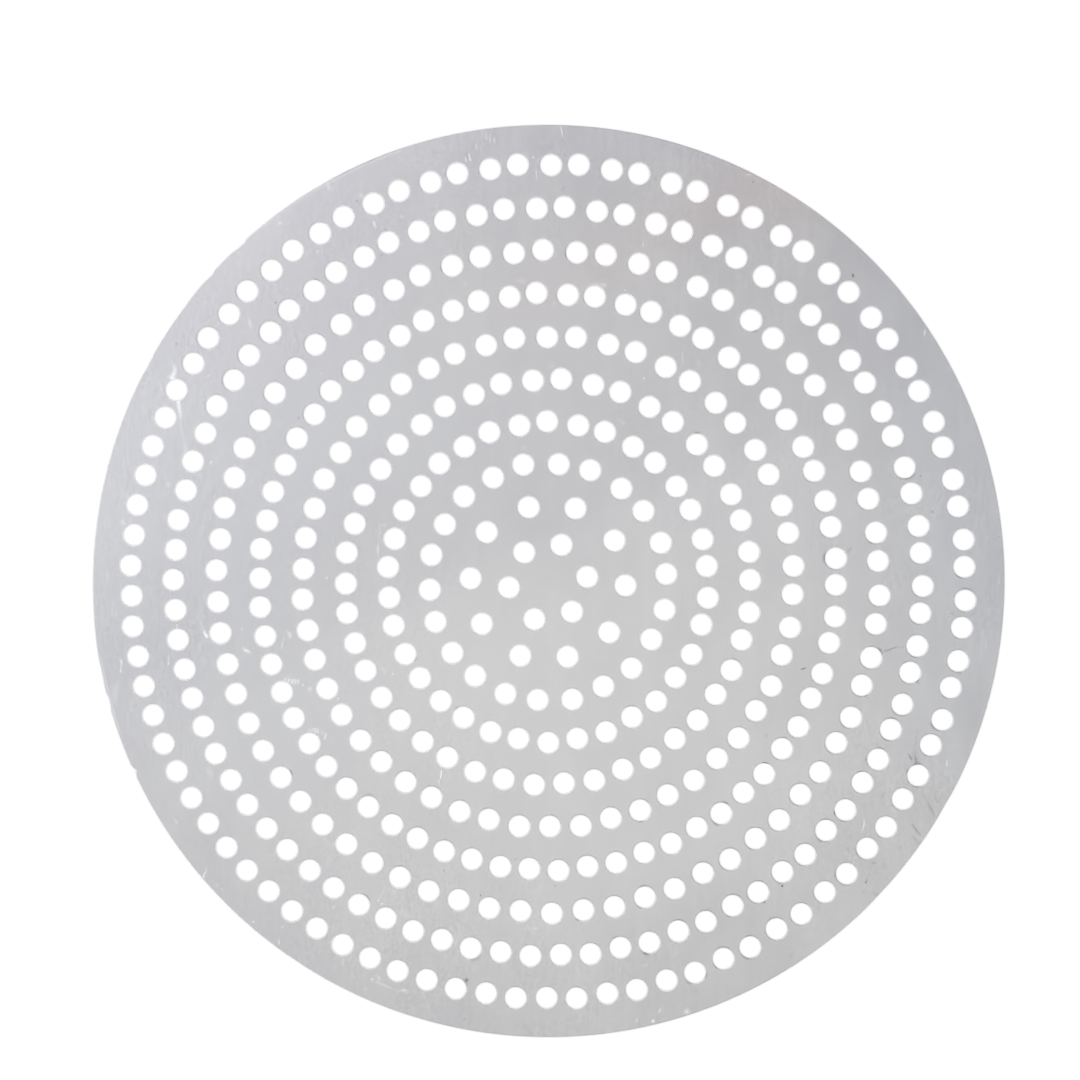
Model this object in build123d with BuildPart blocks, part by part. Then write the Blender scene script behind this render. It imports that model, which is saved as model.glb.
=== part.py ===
from build123d import *

import os

os.makedirs("parts", exist_ok=True)

# A flat perforated pizza disc: one round blank of aluminium sheet, with no rim
# wall, no handle and no feet, and holes over nearly its whole face. The dough
# lies on the upper face, and the lower face lies on the oven's deck or rack.
#
# Frame: millimetres, +Z up. The origin is the middle of the blank, on the
# lower face.

# ---------------------------------------------------------------- the blank
disc_diameter = 406.4  # 16 inch blank
sheet_thickness = 1.02  # 18 gauge sheet
rim_roll_radius = 0.30  # the blank is sheared from above, so its rim rolls below
rim_break_radius = 0.15  # upper rim edge, where the burr was taken off

# ---------------------------------------------------------------- the holes
# One die with ten rings of round punches strikes the blank twice. All the
# counts are odd and every ring has one punch on the same radius, so after half
# a turn of the blank the second strike falls midway between the first one's
# holes in every ring at once.
hole_diameter = 9.8
ring_radii = (17.40, 34.83, 53.03, 71.29, 90.31, 109.37, 128.48, 147.55, 166.72, 185.86)
ring_counts = (3, 5, 11, 17, 21, 25, 31, 33, 39, 43)

# The blank isn't quite central on the die, and moves a little between the two
# strikes. So the holes pair up towards the upper right and are evenly spaced
# towards the lower left. Each strike has its centre on the blank and the
# direction of its common radius.
first_strike_centre = (-0.47, 0.27)
first_strike_angle = 68.97
second_strike_centre = (0.05, -0.40)
second_strike_angle = 248.74

# The punches enter from above: the metal rolls over into the hole there, and
# breaks out a little wider below.
hole_roll_radius = 0.25
hole_breakout = 0.10

strikes = (
    (first_strike_centre, first_strike_angle),
    (second_strike_centre, second_strike_angle),
)

with BuildPart() as perforated_disc:
    with BuildSketch(Plane.XY):
        Circle(disc_diameter / 2)
        for centre, angle in strikes:
            for radius, count in zip(ring_radii, ring_counts):
                with Locations(centre):
                    with PolarLocations(radius, count, start_angle=angle):
                        Circle(hole_diameter / 2, mode=Mode.SUBTRACT)
    extrude(amount=sheet_thickness)

    upper_face = perforated_disc.faces().sort_by(Axis.Z)[-1]
    lower_face = perforated_disc.faces().sort_by(Axis.Z)[0]
    upper_rim = upper_face.outer_wire().edges()
    upper_hole_edges = upper_face.inner_wires().edges()
    lower_rim = lower_face.outer_wire().edges()
    lower_hole_edges = lower_face.inner_wires().edges()

    # Edges: rolled where the punches went in, broken out where they left, and
    # the rim's two edges rounded so that it can be handled.
    fillet(upper_hole_edges, hole_roll_radius)
    chamfer(lower_hole_edges, hole_breakout)
    fillet(lower_rim, rim_roll_radius)
    fillet(upper_rim, rim_break_radius)

perforated_disc.part.label = "perforated_disc"
export_step(perforated_disc.part, "parts/perforated_disc.step")
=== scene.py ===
import math

import bpy
import numpy as np
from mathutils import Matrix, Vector
from mathutils.geometry import delaunay_2d_cdt


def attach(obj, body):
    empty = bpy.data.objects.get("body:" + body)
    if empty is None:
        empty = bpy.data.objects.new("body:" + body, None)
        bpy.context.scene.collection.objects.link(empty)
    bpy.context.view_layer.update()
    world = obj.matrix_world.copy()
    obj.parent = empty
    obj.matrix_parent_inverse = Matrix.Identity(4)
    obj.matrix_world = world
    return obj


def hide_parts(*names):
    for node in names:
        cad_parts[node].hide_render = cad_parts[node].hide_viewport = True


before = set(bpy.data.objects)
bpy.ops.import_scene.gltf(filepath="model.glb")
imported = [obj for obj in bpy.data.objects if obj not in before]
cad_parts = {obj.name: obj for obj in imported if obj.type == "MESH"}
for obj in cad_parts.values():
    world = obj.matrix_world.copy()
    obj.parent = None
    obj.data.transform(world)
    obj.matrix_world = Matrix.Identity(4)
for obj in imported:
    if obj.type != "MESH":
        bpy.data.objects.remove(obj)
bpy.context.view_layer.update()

# ------------------------------------------------------------------ sizes
# Millimetres here; the mesh is written in metres. These are the sheet's own
# driving dimensions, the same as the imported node's.
MM = 0.001
DISC_R = 203.2
SHEET = 1.02
HOLE_R = 4.9
ROLL = 0.25
BREAKOUT = 0.10
RIM_BREAK = 0.15
RIM_ROLL = 0.30
RING_RADII = (17.40, 34.83, 53.03, 71.29, 90.31, 109.37, 128.48, 147.55, 166.72, 185.86)
RING_COUNTS = (3, 5, 11, 17, 21, 25, 31, 33, 39, 43)
STRIKES = (((-0.47, 0.27), 68.97), ((0.05, -0.40), 248.74))
SEGMENTS = 32

# A used sheet is never quite flat. The ripple is this high each way, and the
# sheet is thinner by twice that, so that it stays inside the node's box.
RIPPLE = 0.045
TOP_Z = SHEET - RIPPLE
LOW_Z = RIPPLE
WAVES = (  # share of the ripple, wavelength in mm, direction and phase in degrees
    (0.30, 236.0, 24.0, 40.0),
    (0.22, 171.0, 112.0, 205.0),
    (0.18, 127.0, 71.0, 310.0),
    (0.14, 98.0, 158.0, 95.0),
    (0.10, 83.0, 8.0, 260.0),
    (0.06, 66.0, 97.0, 150.0),
)

# The rim's outline: how far it stands out from a true circle, in mm, at angles
# counter-clockwise from +X. It is a little full at the top, knocked flat on the
# left, and nicked in a few places.
RIM_SHAPE = (
    (0.0, 0.0), (92.0, 0.0), (96.0, 0.13), (104.0, 0.34), (111.0, 0.44),
    (121.0, 0.31), (131.0, 0.12), (131.5, 0.05), (131.8, -0.68), (132.6, -0.52),
    (134.2, -0.05), (136.9, 0.0), (137.3, -0.60), (138.2, -0.42), (139.6, -0.08),
    (143.0, -0.30), (149.8, -0.44), (150.8, -0.68), (152.0, -0.72), (153.0, -0.48),
    (160.0, -0.50), (168.0, -0.54), (176.0, -0.46), (182.0, -0.34), (188.0, 0.0),
    (190.2, 0.0), (190.8, -0.22), (192.2, -0.20), (192.9, 0.0), (194.2, 0.0),
    (194.7, -0.52), (195.6, -0.50), (196.4, 0.0), (203.7, 0.0), (204.2, -0.50),
    (204.5, -1.30), (204.8, -0.72), (205.4, 0.0), (235.0, 0.0), (235.7, -0.14),
    (236.8, -0.12), (237.4, 0.0), (314.0, 0.0), (316.0, -0.17), (328.6, -0.18),
    (329.5, -0.31), (330.8, -0.31), (332.0, -0.17), (334.2, 0.0), (360.0, 0.0),
)

# ------------------------------------------------------------------ marks
# Scratches, scuffs and spots, in mm: half width, then the points of an open line,
# or one point for a spot, each with its strength there. They fade to nothing at
# the half width. They are bright where the metal is freshly scored, and their near-white
# colour also holds a painted glint; they are dark where grease or soot has dried on.
BRIGHT_MARKS = (
    (1.52, (-167.3, 97.3, 0.10), (-166.2, 93.9, 0.38), (-167.5, 90.7, 0.66)),
    (1.48, (-167.6, 91.1, 0.46), (-170.2, 90.9, 0.00)),
    (1.06, (-167.2, 107.0, 0.08), (-166.6, 99.8, 0.00)),
    (1.25, (-164.8, 80.2, 0.58), (-163.8, 74.2, 0.31), (-164.1, 72.8, 0.09), (-162.5, 62.8, 0.09), (-161.4, 58.4, 0.18)),
    (0.68, (-151.3, 91.6, 0.45)),
    (0.90, (-150.3, 53.3, 0.42)),
    (0.30, (-173.1, 89.5, 0.02), (-172.3, 84.7, 0.29)),
    (1.19, (-170.8, 46.7, 0.15)),
    (2.13, (-169.2, 43.3, 0.19)),
    (1.04, (-152.8, -4.6, 0.08), (-154.6, -11.4, 0.08), (-155.7, -15.2, 0.10), (-153.8, -21.0, 0.12), (-152.8, -23.4, 0.66), (-152.1, -24.4, 0.59)),
    (1.17, (-136.2, -29.4, 0.18), (-135.8, -30.6, 0.05), (-134.9, -30.5, 0.51), (-132.3, -31.9, 0.09), (-132.2, -31.9, 0.28)),
    (0.60, (-190.4, -34.8, 0.44), (-190.1, -36.8, 0.30)),
    (0.50, (-190.5, -37.2, 0.31), (-190.6, -40.2, 0.40)),
    (2.20, (-191.3, -43.1, 0.04), (-193.1, -47.4, 0.10), (-193.2, -53.5, 0.10)),
    (0.80, (-196.4, 4.1, 0.14), (-196.4, 1.3, 0.08), (-197.9, -2.6, 0.07)),
    (0.80, (-193.5, -8.8, 0.10), (-193.9, -11.5, 0.11), (-195.7, -16.3, 0.04)),
    (0.98, (-116.6, -21.5, 0.05), (-114.9, -23.7, 0.39), (-115.6, -25.2, 0.08)),
    (0.88, (-117.4, -23.3, 0.05), (-118.8, -28.8, 0.20), (-119.0, -30.5, 0.05)),
    (0.55, (-117.6, -44.4, 0.35), (-117.2, -42.9, 0.30)),
    (0.55, (-116.0, -45.0, 0.35), (-115.5, -43.4, 0.40)),
    (0.60, (-114.4, -45.4, 0.35), (-114.0, -43.6, 0.45)),
    (0.74, (-109.4, -46.0, 0.28)),
    (1.75, (-106.2, -47.8, 0.21)),
    (0.42, (-169.0, -32.6, 0.16), (-169.5, -36.9, 0.34)),
    (0.50, (-106.9, -67.2, 0.18), (-106.5, -65.5, 0.18)),
    (0.70, (-99.7, -70.0, 0.30), (-99.2, -67.8, 0.36)),
    (2.12, (-151.7, -83.9, 0.08), (-150.6, -85.2, 0.11)),
    (0.64, (-167.2, -105.2, 0.10), (-165.5, -107.6, 0.21)),
    (0.54, (-152.2, -126.9, 0.13), (-152.6, -128.3, 0.15), (-153.9, -131.7, 0.53)),
    (1.89, (-97.5, 175.4, 0.16)),
    (0.30, (-83.6, 180.5, 0.09), (-83.2, 178.9, 0.05), (-83.0, 176.4, 0.32)),
    (1.84, (-83.2, 172.1, 0.18)),
    (0.81, (-77.7, 160.7, 0.10), (-77.4, 159.6, 0.38), (-76.8, 157.7, 0.10)),
    (0.95, (-102.6, 147.0, 0.21)),
    (1.20, (-98.3, 130.8, 0.10)),
    (0.80, (-132.9, 116.7, 0.18), (-132.9, 115.5, 0.20), (-132.3, 113.2, 0.15)),
    (2.20, (-120.5, 159.6, 0.08)),
    (0.78, (-119.3, 159.6, 0.29)),
    (0.60, (-35.3, 190.2, 0.26), (-34.7, 187.6, 0.36)),
    (0.60, (-36.9, 188.6, 0.21), (-36.5, 187.2, 0.32)),
    (0.55, (-26.0, 198.0, 0.14), (-25.8, 195.8, 0.17)),
    (0.55, (-24.2, 197.6, 0.18), (-23.9, 195.4, 0.20)),
    (0.55, (-27.8, 199.4, 0.12), (-27.4, 197.0, 0.16)),
    (0.70, (-32.1, 194.4, 0.13), (-31.9, 192.1, 0.07)),
    (0.60, (-9.2, 191.0, 0.09), (-9.0, 186.7, 0.10)),
    (2.00, (-6.2, 187.2, 0.03), (-5.8, 186.1, 0.01)),
    (0.33, (-5.4, 182.9, 0.26), (-5.2, 179.0, 0.20)),
    (0.50, (5.6, 202.3, 0.26), (6.0, 199.8, 0.26), (6.6, 197.6, 0.12)),
    (0.45, (7.9, 199.9, 0.16)),
    (1.51, (-13.8, 134.1, 0.07), (-11.0, 134.0, 0.12)),
    (1.01, (-37.0, 132.7, 0.20)),
    (0.44, (-60.8, 165.8, 0.32)),
    (1.09, (-65.2, 162.5, 0.18)),
    (0.28, (41.9, 153.0, 0.03), (42.2, 149.3, 0.35)),
    (0.50, (34.1, 129.8, 0.47)),
    (1.62, (15.2, 132.2, 0.03), (25.0, 132.1, 0.19)),
    (0.76, (88.1, 181.1, 0.18), (90.4, 181.0, 0.05)),
    (0.37, (167.5, 112.1, 0.35), (167.4, 110.7, 0.38), (167.5, 109.4, 0.20)),
    (0.26, (200.7, 3.3, 0.14), (200.7, -1.0, 0.22)),
    (0.28, (194.9, -26.8, 0.20), (194.9, -29.3, 0.22)),
    (0.55, (177.7, -79.4, 0.10), (177.6, -81.9, 0.36)),
    (0.42, (140.9, -105.4, 0.05), (140.8, -107.9, 0.36), (139.7, -112.0, 0.14)),
    (0.79, (49.8, -190.9, 0.21), (49.6, -191.8, 0.22)),
    (0.78, (39.5, -195.2, 0.19), (39.3, -196.5, 0.15)),
    (1.00, (46.7, -196.1, 0.60)),
    (1.98, (61.8, -191.9, 0.28)),
    (0.86, (41.6, -171.6, 0.03), (43.8, -171.0, 0.13)),
    (0.87, (-12.0, -154.8, 0.03), (-8.0, -154.8, 0.06), (-5.2, -154.6, 0.13)),
    (0.47, (-75.0, -140.5, 0.02), (-76.0, -142.3, 0.40)),
    (0.39, (-74.1, -143.6, 1.44)),
    (0.54, (-72.7, -135.6, 0.07), (-74.8, -140.3, 0.12)),
    (0.69, (-95.1, -144.1, 0.07), (-95.9, -145.6, 0.21)),
    (0.99, (-67.1, -182.7, 0.08), (-64.2, -182.1, 0.22), (-62.4, -183.8, 0.03)),
    (1.12, (-78.6, -177.3, 0.22)),
    (1.00, (-76.8, -176.0, 0.12), (-75.3, -176.7, 0.15), (-76.2, -178.8, 0.10), (-73.8, -179.7, 0.15), (-68.8, -182.1, 0.05)),
    (1.04, (-81.6, -181.8, 0.13)),
    (0.89, (-92.0, -169.7, 0.07), (-92.0, -170.8, 0.13)),
    (1.92, (-65.6, -147.5, 0.09), (-62.0, -149.5, 0.07)),
    (2.12, (-69.0, -138.3, 0.08)),
    (2.20, (-49.4, -143.7, 0.11)),
    (0.82, (-118.7, -154.0, 0.29)),
    (0.29, (-120.0, -160.1, 0.38), (-120.3, -161.7, 0.58)),
    (0.43, (-131.6, -151.6, 1.06)),
    (1.41, (-148.0, -135.3, 0.11)),
    (0.36, (-145.6, -137.0, 0.46)),
    (1.93, (-109.8, -134.0, 0.07), (-111.0, -137.8, 0.01)),
    (2.08, (-132.8, -106.6, 0.08)),
    (1.37, (-138.7, -134.5, 0.07)),
    (0.33, (-47.7, -83.8, 0.57), (-48.0, -87.4, 0.65), (-48.4, -87.7, 0.03), (-48.8, -88.8, 0.41), (-48.7, -91.1, 0.00)),
    (0.88, (-75.8, 11.4, 0.11), (-76.0, 14.8, 0.26), (-75.6, 17.2, 0.02)),
    (0.89, (-74.9, 25.4, 0.10), (-75.6, 18.2, 0.07)),
    (1.32, (-73.2, 25.4, 0.16)),
    (1.49, (-74.5, -38.3, 0.08), (-72.5, -40.5, 0.08)),
    (0.31, (-69.4, -41.0, 1.23)),
    (0.92, (-98.7, 1.8, 0.35)),
    (0.94, (-136.4, -21.1, 0.21)),
    (0.55, (-68.9, 81.5, 0.19)),
    (0.29, (42.5, 91.2, 0.56), (42.6, 89.4, 0.05)),
    (0.75, (30.8, 72.4, 0.08), (33.9, 70.4, 0.12)),
    (0.51, (59.5, 101.7, 0.19), (60.0, 96.2, 0.06)),
    (0.26, (66.7, 98.3, 0.12), (66.7, 94.7, 0.10)),
    (2.07, (1.3, 96.3, 0.11)),
    (0.95, (-101.0, 92.7, 0.22)),
    (1.44, (-11.2, 59.8, 0.13)),
    (1.59, (2.3, 123.7, 0.14)),
    (2.02, (-189.4, 26.5, 0.20)),
    (0.70, (-66.0, 191.7, 0.13), (-79.2, 186.6, 0.13), (-92.0, 180.6, 0.13), (-104.4, 173.7, 0.13), (-116.3, 166.0, 0.13), (-127.6, 157.5, 0.13)),
    (0.70, (-199.5, -33.4, 0.15), (-197.2, -44.9, 0.15), (-194.3, -56.3, 0.15), (-190.7, -67.5, 0.15)),
    (0.55, (-113.0, -45.2, 0.30), (-112.6, -43.6, 0.38)),
    (0.55, (-111.7, -45.2, 0.40), (-111.2, -43.6, 0.30)),
    (1.80, (-117.2, -43.8, 0.10), (-111.8, -44.4, 0.12)),
    (0.50, (-105.2, -67.0, 0.30), (-104.8, -65.2, 0.30)),
    (0.55, (-104.1, -67.2, 0.38), (-103.8, -65.4, 0.38)),
    (0.50, (-103.0, -67.0, 0.32), (-102.7, -65.6, 0.28)),
    (1.60, (-106.2, -66.2, 0.08), (-102.8, -66.3, 0.12)),
    (1.40, (-101.0, -67.0, 0.12)),
    (0.40, (-165.5, -18.9, 0.40), (-165.4, -21.6, 0.45)),
    (0.80, (-93.7, -52.0, 0.35)),
    (0.70, (-6.7, 188.8, 0.30)),
    (0.60, (-4.4, 187.8, 0.35)),
)
DARK_MARKS = (
    (0.75, (160.6, -76.9, 0.69), (161.3, -78.2, 0.86), (161.8, -79.4, 0.69)),
    (2.00, (163.2, -76.4, 0.45), (163.8, -79.0, 0.72), (164.4, -81.0, 0.60)),
    (1.31, (164.6, -66.0, 0.21), (164.2, -71.0, 0.27), (163.4, -74.5, 0.34)),
    (1.00, (167.0, -94.6, 0.28), (168.6, -97.4, 0.45), (170.2, -100.6, 0.66), (171.4, -102.6, 0.60), (172.2, -105.2, 0.38)),
    (0.98, (172.0, -94.6, 0.33), (173.4, -98.0, 0.51)),
    (0.88, (162.2, -108.1, 0.60), (163.8, -110.4, 0.74), (165.8, -113.0, 0.60)),
    (1.00, (162.4, -113.6, 0.30), (164.0, -115.2, 0.52), (165.4, -117.0, 0.45)),
    (0.67, (167.6, -113.2, 0.24)),
    (1.47, (149.0, -92.8, 0.08), (149.0, -95.4, 0.17), (148.6, -97.0, 0.08)),
    (1.01, (156.4, -119.3, 0.32), (157.2, -118.4, 0.24)),
    (2.00, (149.8, -126.6, 0.33)),
    (1.46, (146.6, -123.6, 0.12)),
    (0.47, (144.4, -125.4, 0.68), (146.0, -125.2, 0.68)),
    (0.70, (142.6, -130.6, 0.27), (142.1, -132.4, 0.35), (141.6, -134.2, 1.10)),
    (1.78, (141.2, -138.0, 0.31)),
    (0.90, (144.8, -138.4, 0.39), (147.2, -140.2, 0.49)),
    (0.56, (123.2, -116.5, 0.48)),
    (0.56, (125.1, -116.6, 0.42)),
    (1.01, (102.9, -134.6, 0.78)),
    (0.75, (104.3, -135.6, 1.71)),
    (0.56, (106.4, -135.1, 0.30)),
    (0.78, (70.9, -145.9, 0.36)),
    (0.78, (96.6, -143.5, 0.42)),
    (1.27, (118.4, -155.2, 0.18)),
    (2.00, (108.4, -166.8, 0.17)),
    (0.74, (3.0, -135.6, 0.57)),
    (0.69, (-14.6, -123.8, 0.73)),
    (2.00, (-10.5, -197.6, 0.12), (-9.4, -200.0, 0.23), (-8.2, -202.0, 0.23)),
    (0.90, (24.0, -200.8, 0.24)),
    (1.70, (-36.6, -177.8, 1.05)),
    (0.92, (-46.8, -128.7, 0.50)),
    (0.72, (-30.3, -140.0, 1.00)),
    (0.79, (-37.6, -195.3, 0.59)),
    (0.72, (-24.0, -200.0, 0.50)),
    (0.56, (-59.3, -194.1, 0.30)),
    (0.56, (-58.0, -194.8, 0.42)),
    (0.77, (135.4, 136.9, 1.15), (135.5, 135.9, 1.15)),
    (1.41, (110.0, 158.6, 0.16)),
    (0.77, (165.6, 47.2, 0.76)),
    (1.09, (171.0, 31.2, 0.78)),
    (0.67, (148.8, -31.6, 0.54)),
    (0.77, (149.8, -30.9, 0.59), (151.6, -30.4, 0.72), (153.4, -29.6, 0.72), (155.5, -29.0, 0.41), (158.2, -28.9, 0.24)),
    (0.84, (164.9, -45.2, 0.60)),
    (0.84, (142.1, -51.6, 0.54)),
    (0.72, (200.4, 20.1, 0.48), (201.2, 19.9, 0.48)),
    (1.44, (134.6, 14.6, 0.50), (133.6, 13.8, 0.40)),
    (0.68, (178.6, -14.0, 0.44), (180.5, -14.2, 0.44)),
    (0.65, (187.8, -14.6, 0.41), (189.6, -14.2, 0.41)),
    (0.63, (112.6, -39.0, 0.66), (113.7, -38.6, 1.15), (114.7, -38.2, 0.66)),
    (0.67, (-59.2, -34.9, 0.60)),
    (0.56, (-101.0, -42.3, 0.06), (-99.2, -42.2, 0.04)),
    (1.02, (-111.0, 72.9, 0.28)),
    (0.90, (-110.0, 69.3, 0.10)),
    (0.56, (-90.0, 64.0, 0.18)),
    (1.34, (80.0, 94.3, 0.08)),
    (0.90, (-72.3, 157.1, 0.48)),
    (1.01, (-74.2, 145.6, 0.30)),
    (1.60, (6.8, 174.8, 0.28)),
    (0.56, (-31.6, 130.5, 0.24)),
    (0.72, (7.0, 190.2, 0.60), (8.6, 188.6, 0.47)),
    (0.78, (52.2, 182.4, 0.16), (54.4, 182.7, 0.11)),
    (1.06, (46.2, 165.8, 0.15), (44.8, 164.8, 0.15)),
    (1.33, (91.0, 178.0, 0.79)),
    (0.97, (93.0, 178.4, 0.18)),
    (0.67, (88.3, 181.6, 0.54)),
    (0.57, (-85.7, 169.5, 0.61), (-84.8, 169.4, 0.51)),
    (0.56, (-82.0, 172.5, 0.48), (-81.7, 172.1, 0.42)),
    (0.67, (-103.5, 135.0, 0.30)),
    (1.05, (-121.3, 124.3, 0.58)),
    (0.90, (-129.5, 113.5, 0.01)),
    (0.76, (-165.5, 106.0, 0.29)),
    (0.78, (-189.8, -40.7, 0.12)),
    (0.75, (-187.5, -40.1, 0.12)),
    (1.05, (97.1, -68.7, 0.27)),
)
# Dark arcs round the edges of single holes, partly grease and partly painted shade of the rolled edge: a hole's centre,
# the stretch of its edge in degrees, width in mm and strength.
HOLE_GRIME_AND_SHADE = (
    (104.2, -129.5, 238, 272, 0.35, 0.47),
    (76.9, -103.6, 218, 267, 1.22, 0.80),
    (-41.3, -181.7, 8, 62, 0.82, 0.62),
    (128.0, 10.1, 138, 212, 1.50, 0.84),
    (143.7, -34.2, 13, 62, 1.37, 0.91),
    (45.0, -161.1, 228, 272, 1.50, 0.93),
    (175.5, -61.8, 178, 252, 1.50, 0.75),
    (164.7, -86.7, 63, 122, 1.50, 0.88),
    (132.3, -102.0, 178, 217, 0.55, 1.24),
    (161.1, -40.7, 298, 322, 1.50, 1.84),
    (146.8, -79.5, 163, 197, 1.20, 0.80),
    (152.5, -66.0, 58, 117, 0.66, 0.93),
    (96.0, -86.0, 68, 102, 0.35, 1.24),
    (158.7, 50.7, 258, 352, 1.17, 0.72),
    (12.7, 146.4, 158, 212, 0.45, 0.99),
    (-119.5, -87.5, 3, 52, 0.85, 0.76),
    (76.9, -103.6, 38, 97, 0.95, 0.82),
    (70.1, -151.8, 53, 112, 1.50, 0.20),
    (42.8, -140.8, 63, 132, 0.70, 0.89),
    (146.8, -79.5, 48, 107, 0.99, 0.75),
    (179.1, -47.4, 213, 252, 0.37, 0.90),
    (164.7, -86.7, 233, 287, 0.62, 0.83),
    (185.8, -8.7, 33, 132, 1.50, 0.74),
    (182.6, -35.6, 258, 292, 1.06, 0.78),
    (139.5, -46.3, 278, 307, 1.50, 1.02),
    (93.4, -138.6, 288, 312, 1.50, 0.98),
    (152.5, -66.0, 203, 277, 0.35, 0.95),
    (90.3, 116.3, 273, 307, 0.81, 0.85),
    (123.6, -111.1, 58, 127, 0.35, 1.02),
    (65.9, 60.8, 68, 107, 1.16, 0.77),
    (103.9, -74.8, 38, 132, 0.55, 0.76),
    (89.8, -163.1, 203, 282, 0.94, 0.81),
    (81.3, -39.9, 23, 112, 0.53, 0.71),
    (77.9, -168.1, 208, 242, 0.59, 0.94),
    (40.7, -102.1, 248, 297, 0.66, 0.72),
    (57.8, -156.0, 38, 132, 0.35, 0.96),
    (77.9, -168.1, 28, 147, 1.07, 0.72),
    (-104.3, 129.3, 68, 92, 1.41, 0.97),
    (92.1, -114.6, 198, 277, 0.49, 0.73),
    (93.4, -138.6, 223, 267, 0.35, 0.70),
    (132.3, -102.0, 228, 282, 0.62, 0.81),
    (12.5, -186.0, 43, 137, 0.63, 0.69),
    (157.6, -54.9, 208, 252, 0.65, 0.52),
    (-40.6, 181.7, 153, 202, 0.63, 0.65),
    (-80.3, -100.7, 63, 107, 1.39, 0.44),
    (89.8, -163.1, 73, 127, 0.35, 1.00),
    (123.6, -111.1, 208, 297, 1.50, 0.80),
    (-84.4, -144.4, 13, 82, 0.84, 0.77),
    (112.2, -95.0, 223, 282, 0.35, 0.62),
    (164.3, -28.9, 218, 282, 0.52, 0.89),
    (-71.3, 151.0, 83, 107, 1.22, 0.29),
    (164.7, -86.7, 138, 177, 1.01, 0.78),
    (93.4, -138.6, 73, 112, 0.35, 0.65),
    (128.0, 10.1, 128, 272, 0.67, 0.66),
    (101.6, -155.0, 83, 152, 1.04, 0.65),
    (82.0, -144.6, 228, 262, 0.35, 0.88),
    (139.9, -89.8, 68, 132, 0.35, 0.92),
    (139.5, -46.3, 218, 307, 0.41, 0.67),
    (145.9, 21.7, 223, 262, 0.35, 0.87),
    (-42.8, 140.4, 173, 222, 0.35, 0.87),
    (165.6, -14.2, 213, 257, 0.49, 0.92),
    (132.9, -130.4, 228, 287, 1.04, 0.62),
    (142.0, -119.1, 153, 272, 0.72, 0.81),
    (65.3, -174.5, 213, 262, 1.14, 0.69),
    (-34.6, -163.6, 268, 327, 1.50, 0.62),
    (42.8, -140.8, 8, 137, 0.35, 0.63),
    (32.0, -163.3, 98, 132, 0.35, 0.96),
    (134.7, -60.8, 218, 277, 0.35, 0.26),
    (92.1, -114.6, 38, 102, 0.49, 0.71),
    (132.9, -130.4, 163, 212, 1.15, 0.81),
    (37.1, -60.8, 68, 117, 0.35, 0.86),
    (-67.1, 60.9, 198, 222, 0.76, 0.63),
    (65.3, -174.5, 323, 372, 0.97, 0.68),
    (158.7, 50.7, 218, 367, 0.97, 0.71),
    (-66.3, -132.2, 58, 122, 0.35, 0.75),
    (-26.7, -106.3, 78, 132, 0.67, 0.69),
    (185.3, 6.4, 208, 272, 0.57, 1.01),
    (15.4, -146.5, 228, 247, 0.35, 1.00),
    (166.7, -2.2, 208, 262, 0.65, 0.47),
    (82.0, -144.6, 13, 127, 0.94, 0.56),
    (42.8, -140.8, 213, 267, 0.45, 0.67),
    (-38.0, -60.9, 113, 137, 1.50, 0.47),
    (161.1, -40.7, 103, 127, 0.75, 0.92),
    (56.2, -70.4, 58, 107, 0.35, 0.72),
    (157.6, -54.9, 248, 302, 0.64, 0.69),
    (132.3, -102.0, 68, 122, 0.60, 0.73),
    (143.7, -34.2, 8, 132, 0.55, 0.67),
    (-63.9, -32.5, 323, 347, 1.50, 0.35),
)

# In these parts of the sheet every hole gets a thin painted line of shade round its edge, strongest on the sides where
# the rolled edge falls into shade: a place, its reach in mm, and the strength on a hole's upper, lower left and left
# side.
EDGE_SHADE = (
    (122.0, -112.0, 95.0, (0.00, 0.03, 0.18)),
    (165.0, 0.0, 85.0, (0.08, 0.33, 0.15)),
    (60.0, -95.0, 80.0, (0.28, 0.09, 0.06)),
    (0.0, -170.0, 90.0, (0.33, 0.01, 0.15)),
    (-95.0, -125.0, 70.0, (0.15, 0.00, 0.01)),
    (60.0, 60.0, 100.0, (0.00, 0.12, 0.04)),
    (0.0, 165.0, 85.0, (0.00, 0.00, 0.32)),
    (-115.0, 115.0, 65.0, (0.10, 0.00, 0.32)),
    (150.0, 70.0, 60.0, (0.00, 0.10, 0.04)),
    (0.0, 0.0, 80.0, (0.00, 0.04, 0.02)),
    (-150.0, 0.0, 80.0, (0.05, 0.00, 0.00)),
    (-50.0, -92.0, 50.0, (0.21, 0.01, 0.00)),
    (150.0, -90.0, 50.0, (0.44, 0.25, 0.10)),
    (105.0, -140.0, 50.0, (0.49, 0.27, 0.13)),
    (170.0, -40.0, 45.0, (0.30, 0.21, 0.05)),
    (100.0, -60.0, 50.0, (0.13, 0.19, 0.00)),
)
EDGE_SIDES = ((85.0, 48.0), (240.0, 40.0), (195.0, 40.0))  # middle and width in degrees
# The same painted line of shade along the rim's edge: degrees and strength.
RIM_SHADE = (
    (0, 0.40), (15, 0.58), (30, 0.46), (45, 0.42), (60, 0.60), (75, 0.76),
    (88, 0.60), (96, 0.40), (104, 0.25), (107, 0.30), (110, 0.50), (117, 0.50),
    (119, 0.10), (130, 0.00), (200, 0.00), (210, 0.05), (225, 0.08), (240, 0.15),
    (255, 0.45), (270, 0.50), (285, 0.60), (300, 0.55), (315, 0.30), (330, 0.35),
    (345, 0.35), (360, 0.40),
)
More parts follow.
